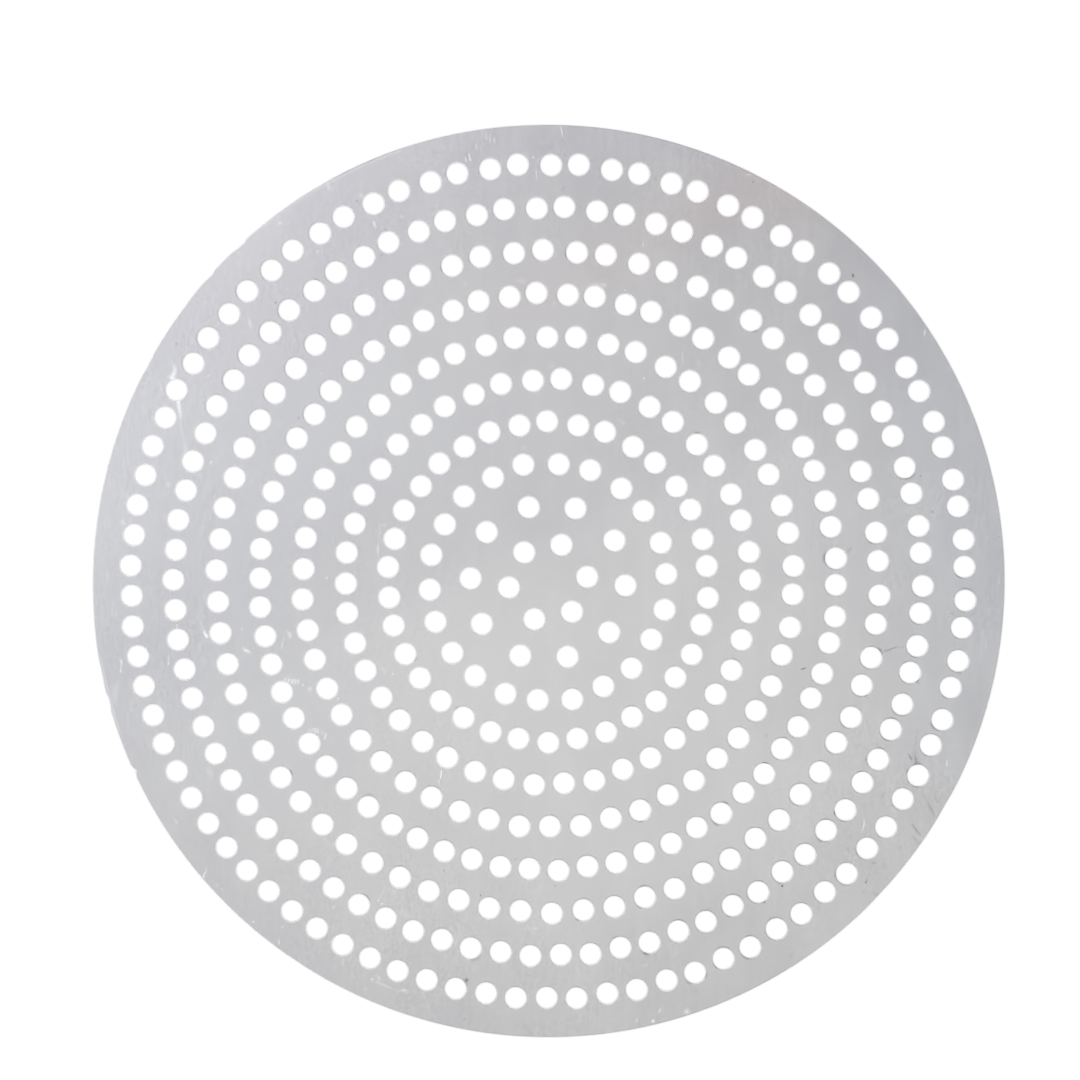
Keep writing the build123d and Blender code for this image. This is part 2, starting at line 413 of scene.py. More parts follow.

# Faint tints, straw and brown at the upper right and blue towards the sides, and neutral painted light and shade that
# lightens or darkens broad patches: reach in mm, the change in red, green and blue, then points with a strength.
TINTS_AND_SHADES = (
    (30.0, (0.024, -0.020, -0.040), (110.0, 172.0, 1.00), (88.0, 172.0, 1.00), (60.0, 160.0, 0.85), (34.0, 145.0, 0.70), (0.0, 130.0, 0.55), (-45.0, 113.0, 0.35)),
    (46.0, (-0.012, -0.001, 0.018), (160.0, 120.0, 0.70), (186.0, 60.0, 0.90), (196.0, -10.0, 1.00), (186.0, -70.0, 0.50)),
    (60.0, (0.007, -0.004, 0.009), (-130.0, 120.0, 1.00), (-90.0, 150.0, 1.00)),
    (150.0, (-0.010, 0.000, 0.006), (-90.0, 140.0, 1.00), (100.0, 120.0, 1.00), (170.0, 60.0, 0.60)),
    (120.0, (-0.004, 0.000, 0.010), (-180.0, 60.0, 0.80), (-170.0, -60.0, 1.00), (-120.0, -130.0, 0.80)),
    # The rest are neutral: painted light and shade, broad brighter or darker patches of the sheet.
    (42.0, (-0.034, -0.034, -0.034), (70.0, -184.0, 1.00), (98.0, -172.0, 1.00)),
    (40.0, (-0.030, -0.030, -0.030), (184.0, -66.0, 1.00), (176.0, -94.0, 1.00)),
    (40.0, (0.034, 0.034, 0.034), (72.0, 186.0, 1.00), (100.0, 172.0, 1.00)),
    (46.0, (0.026, 0.026, 0.026), (112.0, 124.0, 1.00), (126.0, 112.0, 1.00)),
    (60.0, (-0.018, -0.018, -0.018), (10.0, -10.0, 1.00), (55.0, -24.0, 1.00)),
    (46.0, (-0.018, -0.018, -0.018), (45.0, -112.0, 1.00), (58.0, -124.0, 1.00)),
    (44.0, (0.018, 0.018, 0.018), (112.0, -112.0, 1.00), (124.0, -124.0, 1.00)),
    (40.0, (-0.016, -0.016, -0.016), (112.0, -150.0, 1.00), (122.0, -146.0, 1.00)),
    (40.0, (0.018, 0.018, 0.018), (-172.0, -86.0, 1.00), (-182.0, -68.0, 1.00)),
    (50.0, (0.012, 0.012, 0.012), (-90.0, -125.0, 1.00), (-75.0, -150.0, 1.00)),
)

# Wear has roughened the grain more in some parts of the sheet: a place, its reach
# in mm, and how much it adds to the strength of the grain, which is 1 elsewhere.
SCUFFED = (
    (0.0, 190.0, 70.0, 2.70),
    (-90.0, 165.0, 75.0, 3.40),
    (90.0, 165.0, 70.0, 2.55),
    (-165.0, 90.0, 75.0, 3.60),
    (-80.0, -165.0, 75.0, 3.10),
    (0.0, -190.0, 75.0, 3.80),
    (90.0, -165.0, 70.0, 1.42),
    (155.0, -105.0, 65.0, 4.60),
    (190.0, 0.0, 65.0, 3.40),
    (165.0, 90.0, 75.0, 1.34),
    (-100.0, 10.0, 75.0, 2.10),
    (-60.0, -90.0, 80.0, 1.90),
    (100.0, 40.0, 80.0, 1.49),
    (0.0, 110.0, 80.0, 0.57),
    (-185.0, -25.0, 80.0, 2.80),
    (-150.0, -130.0, 60.0, 1.20),
)


# ------------------------------------------------------------------ helpers
def hole_centres():
    found = []
    for (cx, cy), start in STRIKES:
        for radius, count in zip(RING_RADII, RING_COUNTS):
            for k in range(count):
                a = math.radians(start + 360.0 * k / count)
                found.append((cx + radius * math.cos(a), cy + radius * math.sin(a)))
    return np.array(found)


def ripple(x, y):
    """The sheet's height over its flat place, and its two slopes."""
    h = np.zeros_like(x)
    hx = np.zeros_like(x)
    hy = np.zeros_like(x)
    for share, length, way, phase in WAVES:
        k = 2 * math.pi / length
        kx, ky = k * math.cos(math.radians(way)), k * math.sin(math.radians(way))
        a = kx * x + ky * y + math.radians(phase)
        h += RIPPLE * share * np.sin(a)
        hx += RIPPLE * share * kx * np.cos(a)
        hy += RIPPLE * share * ky * np.cos(a)
    return h, hx, hy


def rim_radius(angle):
    """The outline's radius at angles in radians."""
    turn = np.degrees(angle) % 360.0
    at, out = zip(*RIM_SHAPE)
    return DISC_R + np.interp(turn, at, out)


HOLES = hole_centres()
RNG = np.random.default_rng(7)
HOLE_TURN = RNG.uniform(0, 2 * math.pi / SEGMENTS, len(HOLES))
HOLE_ROLL = ROLL * RNG.uniform(0.82, 1.18, len(HOLES))

turns = np.arange(0, 360, 0.6)
extra = [a for a, _ in RIM_SHAPE if 90 < a < 340]
extra += [(a + b) / 2 for (a, _), (b, _) in zip(RIM_SHAPE, RIM_SHAPE[1:]) if b - a < 1.2]
turns = np.array([t for t in turns if min(abs(t - e) for e in extra) > 0.12] + extra)
RIM_TURN = np.radians(np.unique(np.round(turns, 4)))
RIM_OUT = rim_radius(RIM_TURN)
rim_xy = np.stack([np.cos(RIM_TURN), np.sin(RIM_TURN)], 1) * RIM_OUT[:, None]
along = np.roll(rim_xy, -1, 0) - np.roll(rim_xy, 1, 0)
RIM_NORMAL = np.stack([along[:, 1], -along[:, 0]], 1)
RIM_NORMAL /= np.linalg.norm(RIM_NORMAL, axis=1)[:, None]


def clear_of_holes(p, gap):
    return np.hypot(*(HOLES - p).T).min() > HOLE_R + gap


def line_strength(mark, p):
    """A mark's strength at points p: full on its line, nothing at its half width."""
    half, *points = mark
    ends = list(zip(points, points[1:])) or [(points[0], points[0])]
    out = np.zeros(len(p))
    for (ax, ay, a), (bx, by, b) in ends:
        d = np.array([bx - ax, by - ay])
        q = p - (ax, ay)
        t = np.clip(q @ d / max(d @ d, 1e-12), 0, 1)
        gap = np.hypot(*(q - t[:, None] * d).T)
        out = np.maximum(out, np.clip(1 - gap / half, 0, None) * (a + (b - a) * t))
    return out


def mark_points(mark):
    """Points that carry a mark's shape: along its line, at its half width on both sides, and round its ends."""
    half, *points = mark
    found = []
    if len(points) == 1:
        x, y, _ = points[0]
        for k in range(8):
            found.append((x + half * math.cos(k * math.pi / 4), y + half * math.sin(k * math.pi / 4)))
        return [(x, y)] + found
    path = [np.array(points[0][:2], float)]
    for q in points[1:]:
        q = np.array(q[:2], float)
        start = path[-1]
        steps = max(1, int(round(np.linalg.norm(q - start) / max(0.75, 1.3 * half))))
        path += [start + (q - start) * (i + 1) / steps for i in range(steps)]
    path = np.array(path)
    way = np.gradient(path, axis=0)
    way /= np.linalg.norm(way, axis=1)[:, None]
    side = np.stack([-way[:, 1], way[:, 0]], 1)
    for p, w, n in zip(path, way, side):
        found += [p, p + n * half, p - n * half]
    for p, w, n in ((path[0], -way[0], side[0]), (path[-1], way[-1], side[-1])):
        found += [p + w * half, p + (w + n) * half * 0.7, p + (w - n) * half * 0.7]
    return found


def edge_shade(centre, turn):
    """How strong the thin painted line of shade is along a hole's edge, by direction in radians."""
    side = np.zeros(len(EDGE_SIDES))
    for x, y, reach, power in EDGE_SHADE:
        side += max(0.0, 1 - (math.hypot(centre[0] - x, centre[1] - y) / reach) ** 2) * np.array(power)
    out = np.zeros(len(turn))
    for most, (middle, width) in zip(side, EDGE_SIDES):
        off = (np.degrees(turn) - middle + 180) % 360 - 180
        out += min(most, 1.4) * np.exp(-((off / width) ** 2))
    return np.sqrt(out)


def plan_face(hole_r, rim_in, marks):
    """One flat face as triangles: its points, its triangles, where each hole's ring and the rim's ring start, and each point's two mark strengths."""
    xy, edges = [], []

    def add(p):
        xy.append((float(p[0]), float(p[1])))
        return len(xy) - 1

    steps = np.arange(SEGMENTS) * 2 * math.pi / SEGMENTS
    for i, c in enumerate(HOLES):
        first = len(xy)
        for a in steps + HOLE_TURN[i]:
            add(c + hole_r[i] * np.array([math.cos(a), math.sin(a)]))
        edges += [(first + k, first + (k + 1) % SEGMENTS) for k in range(SEGMENTS)]
    rim_first = len(xy)
    for p, n in zip(rim_xy, RIM_NORMAL):
        add(p - n * rim_in)
    edges += [(rim_first + k, rim_first + (k + 1) % len(rim_xy)) for k in range(len(rim_xy))]
    fixed = len(xy)
    edge_shade_and_grime = np.zeros(fixed)

    if marks:
        guards = []
        for i, c in enumerate(HOLES):
            turn = HOLE_TURN[i] + steps
            power = edge_shade(c, turn)
            reach = np.where(power > 0.18, 0.42, 0.0)
            # dark arcs on single holes: partly grease, partly painted shade
            for x, y, start, end, width, most in HOLE_GRIME_AND_SHADE:
                if math.hypot(c[0] - x, c[1] - y) < 1.5:
                    t = ((np.degrees(turn) - start) % 360) / (end - start)
                    swell = np.where(t <= 1, np.sin(math.pi * np.clip(t, 0, 1)) ** 0.6, 0.0)
                    reach = np.maximum(reach, np.where(t <= 1, width * (0.35 + 0.65 * swell), 0.0))
                    power = np.maximum(power, most * swell)
            # the hole's edge keeps its painted shade line, and its dark arcs, as its dark strength
            edge_shade_and_grime[i * SEGMENTS : (i + 1) * SEGMENTS] = np.where(reach > 0, power, 0.0)
            kept = reach > 0
            spread = kept | np.roll(kept, 1) | np.roll(kept, -1)
            for k in np.flatnonzero(spread):
                r = hole_r[i] + max(reach[k], 0.30)
                guards.append(c + r * np.array([math.cos(turn[k]), math.sin(turn[k])]))
        # the rim's edge gets its painted line of shade
        rim_power = np.interp(np.degrees(RIM_TURN), *zip(*RIM_SHADE))
        edge_shade_and_grime[rim_first:fixed] = rim_power
        guards += [p - n * (rim_in + 0.45) for p, n, q in zip(rim_xy, RIM_NORMAL, rim_power) if q > 0.03]
        detail = [p for mark in BRIGHT_MARKS + DARK_MARKS for p in mark_points(mark)]
        taken = {}
        for p in guards + detail:
            p = np.asarray(p, float)
            gap = np.hypot(*(HOLES - p).T) - hole_r
            cell = (int(p[0] // 0.2), int(p[1] // 0.2))
            rim_gap = rim_radius(math.atan2(p[1], p[0])) - rim_in - np.hypot(*p)
            if gap.min() < 0.14 or rim_gap < 0.14:
                continue
            close = [taken[(cell[0] + i, cell[1] + j)] for i in (-1, 0, 1) for j in (-1, 0, 1) if (cell[0] + i, cell[1] + j) in taken]
            if any(np.hypot(*(p - q)) < 0.16 for q in close):
                continue
            taken[cell] = p
            add(p)
    placed = np.array(xy[fixed:]).reshape(-1, 2)

    # Points between the holes, so that the face follows the ripple.
    pitch = 8.5
    rows = int(DISC_R / (pitch * 0.866)) + 1
    for j in range(-rows, rows + 1):
        for i in range(-rows - 1, rows + 2):
            p = np.array([(i + (j % 2) / 2) * pitch, j * pitch * 0.866])
            if np.hypot(*p) > DISC_R - 4 or not clear_of_holes(p, 2.2):
                continue
            if len(placed) and np.hypot(*(placed - p).T).min() < 1.6:
                continue
            add(p)

    out, _, faces, origin, _, _ = delaunay_2d_cdt(
        [Vector(p) for p in xy], edges, [], 0, 1e-7
    )
    if len(out) != len(xy):
        print("plan_face: points changed", len(xy), "->", len(out))
    # The triangulation may reorder the points, so its own are mapped back.
    back = np.array([o[0] if o else -1 for o in origin])
    place = np.array(out)
    level = np.zeros((len(place), 2))
    if marks:
        for column, lines in ((0, BRIGHT_MARKS), (1, DARK_MARKS)):
            for mark in lines:
                points = np.array([p[:2] for p in mark[1:]])
                low, high = points.min(0) - mark[0], points.max(0) + mark[0]
                near = np.flatnonzero(((place > low) & (place < high)).all(1))
                level[near, column] = np.maximum(level[near, column], line_strength(mark, place[near]))
        # hole and rim edges take their painted shade, and grease, as dark mark strength
        ringed = (back >= 0) & (back < fixed)
        level[ringed, 1] = np.maximum(level[ringed, 1], edge_shade_and_grime[back[ringed]])
    tri = np.array(faces)
    ring = np.where((back >= 0) & (back < rim_first), back // SEGMENTS, -1)
    inside = (ring[tri[:, 0]] >= 0) & (ring[tri[:, 0]] == ring[tri[:, 1]]) & (ring[tri[:, 1]] == ring[tri[:, 2]])
    middle = place[tri].mean(1)
    turn = np.arctan2(middle[:, 1], middle[:, 0])
    limit = np.interp(turn % (2 * math.pi), np.append(RIM_TURN, 2 * math.pi), np.append(RIM_OUT, RIM_OUT[0])) - rim_in
    on_rim = ((back[tri] >= rim_first) & (back[tri] < fixed)).all(1)
    beyond = on_rim & (np.hypot(*middle.T) > limit)
    tri = tri[~(inside | beyond)]
    a, b, c = place[tri[:, 0]], place[tri[:, 1]], place[tri[:, 2]]
    area = np.cross(b - a, c - a)
    tri = np.where((area < 0)[:, None], tri[:, ::-1], tri)[np.abs(area) > 1e-9]
    where = np.full(len(xy), -1)
    where[back[back >= 0]] = np.flatnonzero(back >= 0)
    print("plan_face: points", len(place), "triangles", len(tri))
    return place, tri, where, rim_first, level


def tint_and_shade(p):
    """The change in red, green and blue at points p from the tints and from the painted light and shade."""
    out = np.zeros((len(p), 3))
    for reach, colour, *points in TINTS_AND_SHADES:
        most = np.zeros(len(p))
        for (ax, ay, a), (bx, by, b) in zip(points, points[1:]):
            d = np.array([bx - ax, by - ay])
            q = p - (ax, ay)
            t = np.clip(q @ d / (d @ d), 0, 1)
            gap = np.hypot(*(q - t[:, None] * d).T)
            most = np.maximum(most, np.clip(1 - (gap / reach) ** 2, 0, None) ** 2 * (a + (b - a) * t))
        out += most[:, None] * np.array(colour)
    return out


def scuffed(p):
    """How strong the grain is at points p."""
    out = np.ones(len(p))
    for x, y, reach, more in SCUFFED:
        out += more * np.clip(1 - (np.hypot(p[:, 0] - x, p[:, 1] - y) / reach) ** 2, 0, None)
    return out


# ------------------------------------------------------------------ the mesh
def build_disc():
    top_r = HOLE_R + HOLE_ROLL
    low_r = np.full(len(HOLES), HOLE_R + BREAKOUT)
    top, top_tri, top_at, rim_first, top_marks = plan_face(top_r, RIM_BREAK, True)
    low, low_tri, low_at, _, _ = plan_face(low_r, RIM_ROLL, False)

    verts, bright, dark, edge = [], [], [], []
    faces, uvs, normals = [], [], []

    def add(xy, z, b=None, d=None, e=0.0):
        first = len(verts)
        xy = np.asarray(xy)
        n = len(xy)
        verts.extend(np.column_stack([xy, z]).tolist())
        bright.extend([0.0] * n if b is None else list(b))
        dark.extend([0.0] * n if d is None else list(d))
        edge.extend([e] * n)
        return first

    # upper face
    h, hx, hy = ripple(*top.T)
    top_first = add(top, TOP_Z + h, top_marks[:, 0], top_marks[:, 1])
    top_n = np.column_stack([-hx, -hy, np.ones(len(top))])
    top_n /= np.linalg.norm(top_n, axis=1)[:, None]
    size, mid = 0.3875 / (DISC_R + 0.5), 0.392
    top_uv = top * size + mid
    for t in top_tri:
        faces.append([top_first + int(v) for v in t])
        uvs.extend(top_uv[t].tolist())
        normals.extend(top_n[t].tolist())

    # lower face
    h, hx, hy = ripple(*low.T)
    low_first = add(low, LOW_Z + h)
    low_n = -np.column_stack([-hx, -hy, np.ones(len(low))])
    low_n /= np.linalg.norm(low_n, axis=1)[:, None]
    size, mid = 0.183 / (DISC_R + 0.5), 0.806
    low_uv = low * (-size, size) + mid
    for t in low_tri[:, ::-1]:
        faces.append([low_first + int(v) for v in t])
        uvs.extend(low_uv[t].tolist())
        normals.extend(low_n[t].tolist())

    def band(rings, tilts, outward, u0, u1, v0, v1, closed, flip):
        """Quads between rings of vertex numbers. outward holds each column's direction, and tilts each ring's lean from straight up, in degrees."""
        count = len(rings[0])
        last = count if closed else count - 1
        u = np.linspace(u0, u1, last + 1)
        v = np.linspace(v1, v0, len(rings))
        lean = np.radians(tilts)
        for j in range(len(rings) - 1):
            for k in range(last):
                m = (k + 1) % count
                quad = [(j, k, u[k]), (j + 1, k, u[k]), (j + 1, m, u[k + 1]), (j, m, u[k + 1])]
                if flip:
                    quad = quad[::-1]
                faces.append([int(rings[a][b]) for a, b, _ in quad])
                for a, b, c in quad:
                    uvs.append((c, v[a]))
                    o = outward[b]
                    normals.append((o[0] * math.sin(lean[a]), o[1] * math.sin(lean[a]), math.cos(lean[a])))

    # the holes' walls: rolled in above, sheared, and broken out below
    wide, high, pitch = 0.0840, 0.0038, 0.0050
    places = [(0.8030 + 0.0950 * c, 0.0060 + pitch * r) for c in range(2) for r in range(121)]
    places += [(0.0060 + 0.0868 * c, 0.8040 + pitch * r) for c in range(7) for r in range(34)]
    steps = np.arange(SEGMENTS) * 2 * math.pi / SEGMENTS
    for i, c in enumerate(HOLES):
        out = np.stack([np.cos(steps + HOLE_TURN[i]), np.sin(steps + HOLE_TURN[i])], 1)
        roll = HOLE_ROLL[i]
        rings = [top_first + top_at[i * SEGMENTS : (i + 1) * SEGMENTS]]
        grime_and_shade = top_marks[top_at[i * SEGMENTS : (i + 1) * SEGMENTS], 1]
        # The walls carry the edge's dark strength down, and their edge value darkens them towards grey: painted shade
        # in the hole, partly grime.
        for r, z, e, g in (
            (HOLE_R + roll * (1 - math.sin(math.pi / 4)), SHEET - 2 * RIPPLE - roll * (1 - math.cos(math.pi / 4)), 0.8, 1.0),
            (HOLE_R, SHEET - 2 * RIPPLE - roll, 1.0, 0.8),
            (HOLE_R + 0.03, 0.12, 1.0, 0.0),
        ):
            xy = c + out * r
            first = add(xy, LOW_Z + ripple(*xy.T)[0] + z, d=grime_and_shade * g, e=e)
            rings.append(first + np.arange(SEGMENTS))
        rings.append(low_first + low_at[i * SEGMENTS : (i + 1) * SEGMENTS])
        x, y = places[i]
        band(rings, (0, 45, 90, 96, 135), -out, x, x + wide, y, y + high, True, True)

    # the rim, in four stretches on the map
    count = len(rim_xy)
    rings = [top_first + top_at[rim_first : rim_first + count]]
    inset = RIM_BREAK * (1 - math.sin(math.pi / 4))
    foot = RIM_ROLL * (1 - math.sin(math.pi / 4))
    grime_and_shade = top_marks[top_at[rim_first : rim_first + count], 1]
    # The rim's rings carry its painted line of shade down, and their edge value darkens them: painted shade on the
    # rim's edge.
    for back, z, e, g in (
        (inset, SHEET - 2 * RIPPLE - inset, 0.5, 1.0),
        (0.0, SHEET - 2 * RIPPLE - RIM_BREAK, 0.6, 1.0),
        (0.0, RIM_ROLL, 0.6, 0.3),
        (foot, foot, 0.5, 0.0),
    ):
        xy = rim_xy - RIM_NORMAL * back
        rings.append(add(xy, LOW_Z + ripple(*xy.T)[0] + z, d=grime_and_shade * g, e=e) + np.arange(count))
    rings.append(low_first + low_at[rim_first : rim_first + count])
    cuts = np.linspace(0, count, 5).astype(int)
    for q in range(4):
        cols = np.arange(cuts[q], cuts[q + 1] + 1) % count
        y = 0.9765 + 0.0056 * q
        band(
            [r[cols] for r in rings],
            (0, 45, 90, 90, 135, 180),
            RIM_NORMAL[cols],
            0.006, 0.600, y, y + 0.0042, False, False,
        )

    mesh = bpy.data.meshes.new("perforated_sheet")
    mesh.from_pydata((np.array(verts) * MM).tolist(), [], faces)
    for name, values in (("mark_bright", bright), ("mark_dark", dark), ("edge", edge)):
        a = mesh.attributes.new(name, "FLOAT", "POINT")
        a.data.foreach_set("value", np.array(values, np.float32))
    tint = mesh.attributes.new("tint_and_shade", "FLOAT_VECTOR", "POINT")
    tint.data.foreach_set("vector", tint_and_shade(np.array(verts)[:, :2]).astype(np.float32).ravel())
    worn = mesh.attributes.new("scuffed", "FLOAT", "POINT")
    worn.data.foreach_set("value", scuffed(np.array(verts)[:, :2]).astype(np.float32))
    layer = mesh.uv_layers.new(name="OFBake")
    layer.uv.foreach_set("vector", np.array(uvs, np.float32).ravel())
    mesh.polygons.foreach_set("use_smooth", [True] * len(mesh.polygons))
    mesh.update()
    mesh.normals_split_custom_set([Vector(n).normalized() for n in normals])
    sheet = bpy.data.objects.new("perforated_sheet", mesh)
    bpy.context.scene.collection.objects.link(sheet)
    print("triangles", sum(len(f) - 2 for f in faces), "valid", not mesh.validate(verbose=True))
    return sheet


# ------------------------------------------------------------------ materials
class Tree:
    """Short hands for writing a node tree."""

    def __init__(self, tree):
        self.t = tree
        self.t.nodes.clear()

    def node(self, kind, **props):
        n = self.t.nodes.new(kind)
        for k, v in props.items():
            setattr(n, k, v)
        return n

    def put(self, socket, value):
        if isinstance(value, bpy.types.NodeSocket):
            self.t.links.new(value, socket)
        elif value is not None:
            socket.default_value = value

    def math(self, op, a, b=None, c=None, clamp=False):
        n = self.node("ShaderNodeMath", operation=op, use_clamp=clamp)
        for s, v in zip(n.inputs, (a, b, c)):
            self.put(s, v)
        return n.outputs[0]

    def vmath(self, op, a, b=None, scale=None):
        n = self.node("ShaderNodeVectorMath", operation=op)
        self.put(n.inputs[0], a)
        self.put(n.inputs[1], b)
        if scale is not None:
            self.put(n.inputs["Scale"], scale)
        return n.outputs["Value" if op in ("LENGTH", "DOT_PRODUCT", "DISTANCE") else "Vector"]

    def noise(self, at, scale, detail=2.0, rough=0.5):
        n = self.node("ShaderNodeTexNoise")
        self.put(n.inputs["Vector"], self.vmath("MULTIPLY", at, scale))
        n.inputs["Scale"].default_value = 1.0
        n.inputs["Detail"].default_value = detail
        n.inputs["Roughness"].default_value = rough
        return n.outputs["Fac"]

    def ramp(self, value, low, high, a=0.0, b=1.0, smooth=True):
        n = self.node("ShaderNodeMapRange", interpolation_type="SMOOTHSTEP" if smooth else "LINEAR")
        self.put(n.inputs["Value"], value)
        for k, v in zip(("From Min", "From Max", "To Min", "To Max"), (low, high, a, b)):
            self.put(n.inputs[k], v)
        return n.outputs[0]

    def mix(self, t, a, b):
        n = self.node("ShaderNodeMix", data_type="RGBA")
        self.put(n.inputs["Factor"], t)
        ins = [s for s in n.inputs if s.type == "RGBA"]
        self.put(ins[0], a)
        self.put(ins[1], b)
        return next(s for s in n.outputs if s.type == "RGBA")

    def attribute(self, name, kind="Fac"):
        return self.node("ShaderNodeAttribute", attribute_name=name).outputs[kind]


def aluminium():
    mat = bpy.data.materials.new("satin_aluminium")
    mat.use_nodes = True
    t = Tree(mat.node_tree)
    out = t.node("ShaderNodeOutputMaterial")
    skin = t.node("ShaderNodeBsdfPrincipled")
    t.t.links.new(skin.outputs[0], out.inputs["Surface"])

    place = t.node("ShaderNodeTexCoord").outputs["Object"]
    mm = t.vmath("SCALE", place, scale=1000.0)

    # the mill's grain runs up and down the sheet, and is rougher in some places
    grain = t.noise(mm, (0.95, 0.40, 0.5), 3.0, 0.6)
    streak = t.noise(mm, (0.42, 0.022, 0.2), 3.0, 0.55)
    speckle = t.noise(mm, (0.75, 0.75, 0.75), 2.0, 0.6)
    cross = t.noise(mm, (0.02, 0.50, 0.2), 3.0, 0.6)
    mottle = t.noise(mm, (0.032, 0.022, 0.03), 4.0, 0.55)
    cloud = t.noise(mm, (0.011, 0.011, 0.011), 2.0, 0.5)
    hair = t.noise(mm, (1.0, 0.16, 0.2), 3.0, 0.6)
    across = t.node("ShaderNodeSeparateXYZ")
    t.put(across.inputs[0], mm)
    left = t.ramp(across.outputs["X"], -105.0, -175.0)
    left = t.math("MULTIPLY", left, t.ramp(across.outputs["Y"], -150.0, -60.0, 0.35, 1.0))
    rougher = t.ramp(t.noise(mm, (0.055, 0.040, 0.05), 3.0, 0.6), 0.42, 0.66, 0.65, 1.6)
    rougher = t.math("MULTIPLY", rougher, t.attribute("scuffed"))

    def about(value, by):
        return t.math("MULTIPLY", t.math("SUBTRACT", value, 0.5), by)

    tone = t.math("MULTIPLY", t.math("ADD", about(grain, 0.035), about(speckle, 0.024)), rougher)
    tone = t.math("ADD", tone, about(streak, 0.012))
    tone = t.math("ADD", tone, t.math("MULTIPLY", about(hair, 0.13), t.math("ADD", 0.2, t.math("MULTIPLY", left, 0.85))))
    tone = t.math("ADD", tone, about(cross, 0.010))
    tone = t.math("ADD", tone, about(mottle, 0.026))

    # marks, broken up a little by the grain
    wear = t.ramp(t.noise(mm, (1.7, 1.3, 1.0), 2.0, 0.6), 0.30, 0.56, 0.75, 1.0)
    bright = t.math("MULTIPLY", t.attribute("mark_bright"), wear, clamp=True)
    dark = t.math("MULTIPLY", t.attribute("mark_dark"), wear, clamp=True)
    edge = t.attribute("edge")

    grey = t.math("ADD", 1.0, tone)
    base = t.mix(t.ramp(mottle, 0.38, 0.62), (0.756, 0.752, 0.764, 1), (0.764, 0.762, 0.762, 1))
    base = t.mix(cloud, base, (0.762, 0.756, 0.764, 1))
    base = t.vmath("SCALE", base, scale=grey)
    # tints, and broad painted light and shade, change the colour
    base = t.vmath("MULTIPLY", base, t.vmath("ADD", t.attribute("tint_and_shade", "Vector"), (1.0, 1.0, 1.0)))
    # bright marks go near white: freshly scored metal, with a painted glint in their colour
    base = t.mix(t.math("MULTIPLY", bright, 1.6, clamp=True), base, (0.975, 0.975, 0.98, 1))
    # dark marks are grease and soot; on hole and rim edges this dark also paints shade
    base = t.mix(dark, base, (0.106, 0.101, 0.106, 1))
    # hole walls and rim edges darken towards grey: painted shade of the recess, partly grime
    base = t.mix(t.math("MULTIPLY", edge, 0.55), base, (0.55, 0.55, 0.55, 1))
    t.put(skin.inputs["Base Color"], base)

    rough = t.math("ADD", 0.205, about(streak, 0.03))
    rough = t.math("ADD", rough, about(mottle, 0.05))
    rough = t.math("ADD", rough, about(speckle, 0.008))
    rough = t.math("ADD", rough, t.math("MULTIPLY", bright, 0.30))
    rough = t.math("ADD", rough, t.math("MULTIPLY", dark, 0.25))
    rough = t.math("ADD", rough, t.math("MULTIPLY", edge, 0.15))
    t.put(skin.inputs["Roughness"], rough)

    skin.inputs["Metallic"].default_value = 1.0
    skin.inputs["Anisotropic"].default_value = 0.9
    skin.inputs["IOR"].default_value = 1.45
    skin.inputs["Specular IOR Level"].default_value = 0.5
    t.put(skin.inputs["Tangent"], t.node("ShaderNodeTangent", direction_type="UV_MAP", uv_map="OFBake").outputs[0])

    height = t.math("ADD", t.math("MULTIPLY", grain, 0.0008), t.math("MULTIPLY", speckle, 0.0004))
    height = t.math("SUBTRACT", height, t.math("MULTIPLY", bright, 0.007))
    bump = t.node("ShaderNodeBump")
    bump.inputs["Strength"].default_value = 1.0
    bump.inputs["Distance"].default_value = 0.001
    t.put(bump.inputs["Height"], height)
    t.put(skin.inputs["Normal"], bump.outputs[0])
    return mat


def floor_material():
    mat = bpy.data.materials.new("pale_floor")
    mat.use_nodes = True
    t = Tree(mat.node_tree)
    out = t.node("ShaderNodeOutputMaterial")
    skin = t.node("ShaderNodeBsdfPrincipled")
    t.t.links.new(skin.outputs[0], out.inputs["Surface"])
    skin.inputs["Base Color"].default_value = (0.69, 0.69, 0.69, 1)
    skin.inputs["Roughness"].default_value = 0.9
    skin.inputs["Specular IOR Level"].default_value = 0.2
    # a light table: the white sheet glows a little, so no hole is in shadow
    skin.inputs["Emission Color"].default_value = (1.0, 1.0, 1.0, 1)
    skin.inputs["Emission Strength"].default_value = 0.13
    return mat


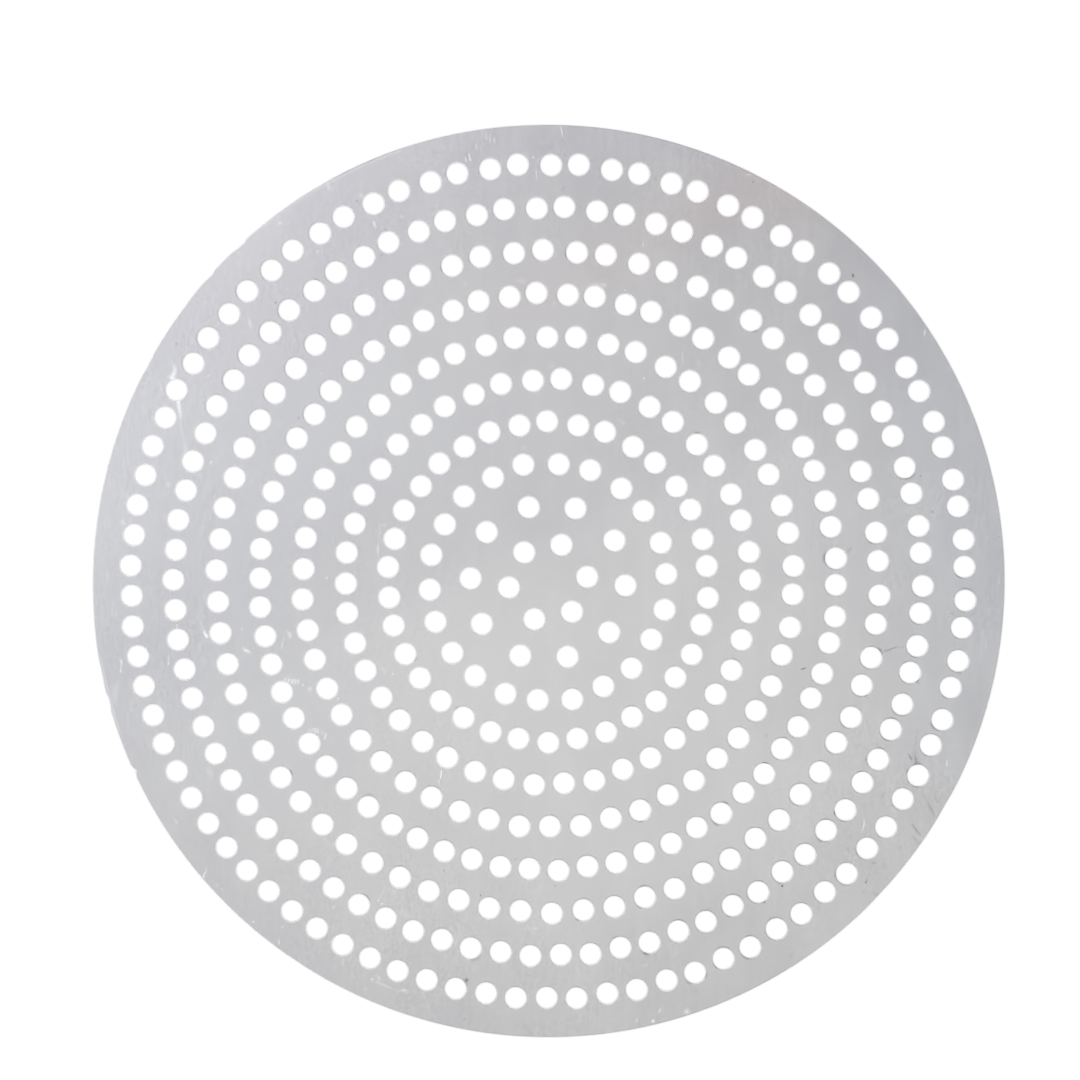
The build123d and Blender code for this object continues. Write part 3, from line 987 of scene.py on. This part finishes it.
# ------------------------------------------------------------------ the room
def surround():
    """A soft studio all round: quiet overhead, a bright band that lights the floor, and dimmer near the horizon."""
    world = bpy.data.worlds.new("studio")
    bpy.context.scene.world = world
    world.use_nodes = True
    t = Tree(world.node_tree)
    out = t.node("ShaderNodeOutputWorld")
    way = t.node("ShaderNodeTexCoord").outputs["Generated"]
    z = t.node("ShaderNodeSeparateXYZ")
    t.put(z.inputs[0], way)
    ramp = t.node("ShaderNodeValToRGB")
    t.put(ramp.inputs[0], z.outputs["Z"])
    stops = (
        (0.00, (0.62, 0.62, 0.63)),
        (0.30, (0.62, 0.62, 0.63)),
        (0.52, (0.80, 0.80, 0.81)),
        (0.62, (2.10, 2.10, 2.12)),
        (0.86, (2.10, 2.10, 2.12)),
        (0.94, (0.364, 0.362, 0.383)),
        (1.00, (0.364, 0.362, 0.383)),
    )
    while len(ramp.color_ramp.elements) < len(stops):
        ramp.color_ramp.elements.new(0.5)
    for e, (at, colour) in zip(ramp.color_ramp.elements, stops):
        e.position = at
        e.color = (*[c / 4 for c in colour], 1)
    light = t.node("ShaderNodeBackground")
    t.put(light.inputs["Color"], ramp.outputs[0])
    light.inputs["Strength"].default_value = 4.0
    plain = t.node("ShaderNodeBackground")
    plain.inputs["Color"].default_value = (1, 1, 1, 1)
    plain.inputs["Strength"].default_value = 1.0
    mix = t.node("ShaderNodeMixShader")
    t.put(mix.inputs[0], t.node("ShaderNodeLightPath").outputs["Is Camera Ray"])
    t.put(mix.inputs[1], light.outputs[0])
    t.put(mix.inputs[2], plain.outputs[0])
    t.put(out.inputs["Surface"], mix.outputs[0])


def softbox(name, at, size, turn, glow):
    """A level softbox that faces down and gives out the same light from every point of its face. Places and sizes in metres, turn in degrees, glow as red, green and blue."""
    lamp = bpy.data.lights.new(name, "AREA")
    lamp.shape = "RECTANGLE"
    lamp.size, lamp.size_y = size
    peak = max(glow)
    lamp.color = [g / peak for g in glow]
    lamp.energy = peak * math.pi * size[0] * size[1]  # radiance = energy / (pi * area)
    ob = bpy.data.objects.new(name, lamp)
    ob.location = at
    ob.rotation_euler = (0.0, 0.0, math.radians(turn))
    ob.visible_camera = False
    bpy.context.scene.collection.objects.link(ob)
    return ob


# The satin sheet shows these overhead as its slow changes of tone: a long one to
# the left, a near one whose edge crosses the middle, and fill from the far sides.
SOFTBOXES = (
    ("long_box", (-0.2601, 0.2852, 2.3974), (0.3304, 1.6168), 8.9, (0.245, 0.237, 0.214)),
    ("middle_card", (0.0648, -0.0529, 0.1110), (0.2154, 0.1795), 23.5, (0.036, 0.035, 0.032)),
    ("left_card", (-0.2931, 0.0618, 0.2356), (0.1874, 0.3308), -22.5, (0.087, 0.087, 0.094)),
    ("top_box", (0.0770, 0.1609, 1.0383), (0.2330, 0.2198), -51.6, (0.212, 0.205, 0.188)),
    ("front_box", (0.0040, -0.2564, 0.7417), (0.8235, 0.4798), 24.9, (0.188, 0.194, 0.177)),
    ("window_box", (-0.3451, 0.8814, 1.9624), (0.8531, 1.0677), -59.3, (1.028, 0.961, 1.078)),
    ("side_box", (-0.4548, 0.0543, 2.2496), (0.5290, 0.5969), -41.7, (0.336, 0.355, 0.372)),
    ("front_card", (0.0376, -0.1269, 0.0450), (0.1895, 0.2990), 23.3, (0.017, 0.017, 0.015)),
)


def camera():
    """Straight down from 1.6 m, leaning a little towards +Y, as the photograph was taken."""
    data = bpy.data.cameras.new("camera")
    data.sensor_width = 36.0
    data.sensor_fit = "HORIZONTAL"
    distance, lean = 1.6, math.radians(0.9)
    across = 1080 * 0.44563e-3
    data.lens = 36.0 * distance / across
    cam = bpy.data.objects.new("camera", data)
    aim = Vector((-0.00375, 0.01867, 0.0))
    back = Vector((0.0, math.sin(lean), math.cos(lean)))
    cam.location = aim + back * distance
    cam.rotation_euler = (-lean, 0.0, 0.0)
    data.clip_start, data.clip_end = 0.05, 50.0
    bpy.context.scene.collection.objects.link(cam)
    bpy.context.scene.camera = cam


light_paths = bpy.context.scene.cycles
light_paths.max_bounces = 6
light_paths.diffuse_bounces = 2
light_paths.glossy_bounces = 3

view = bpy.context.scene.view_settings
view.view_transform = "Standard"
view.look = "None"
view.exposure = 0.0
view.gamma = 1.0

camera()
surround()
for box in SOFTBOXES:
    softbox(*box)

sheet = build_disc()
sheet.data.materials.append(aluminium())
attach(sheet, "root")
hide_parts("perforated_disc")

ground = bpy.data.meshes.new("ground")
half = 12.0
ground.from_pydata([(-half, -half, -0.0001), (half, -half, -0.0001), (half, half, -0.0001), (-half, half, -0.0001)], [], [(0, 1, 2, 3)])
floor = bpy.data.objects.new("floor", ground)
floor.data.materials.append(floor_material())
bpy.context.scene.collection.objects.link(floor)
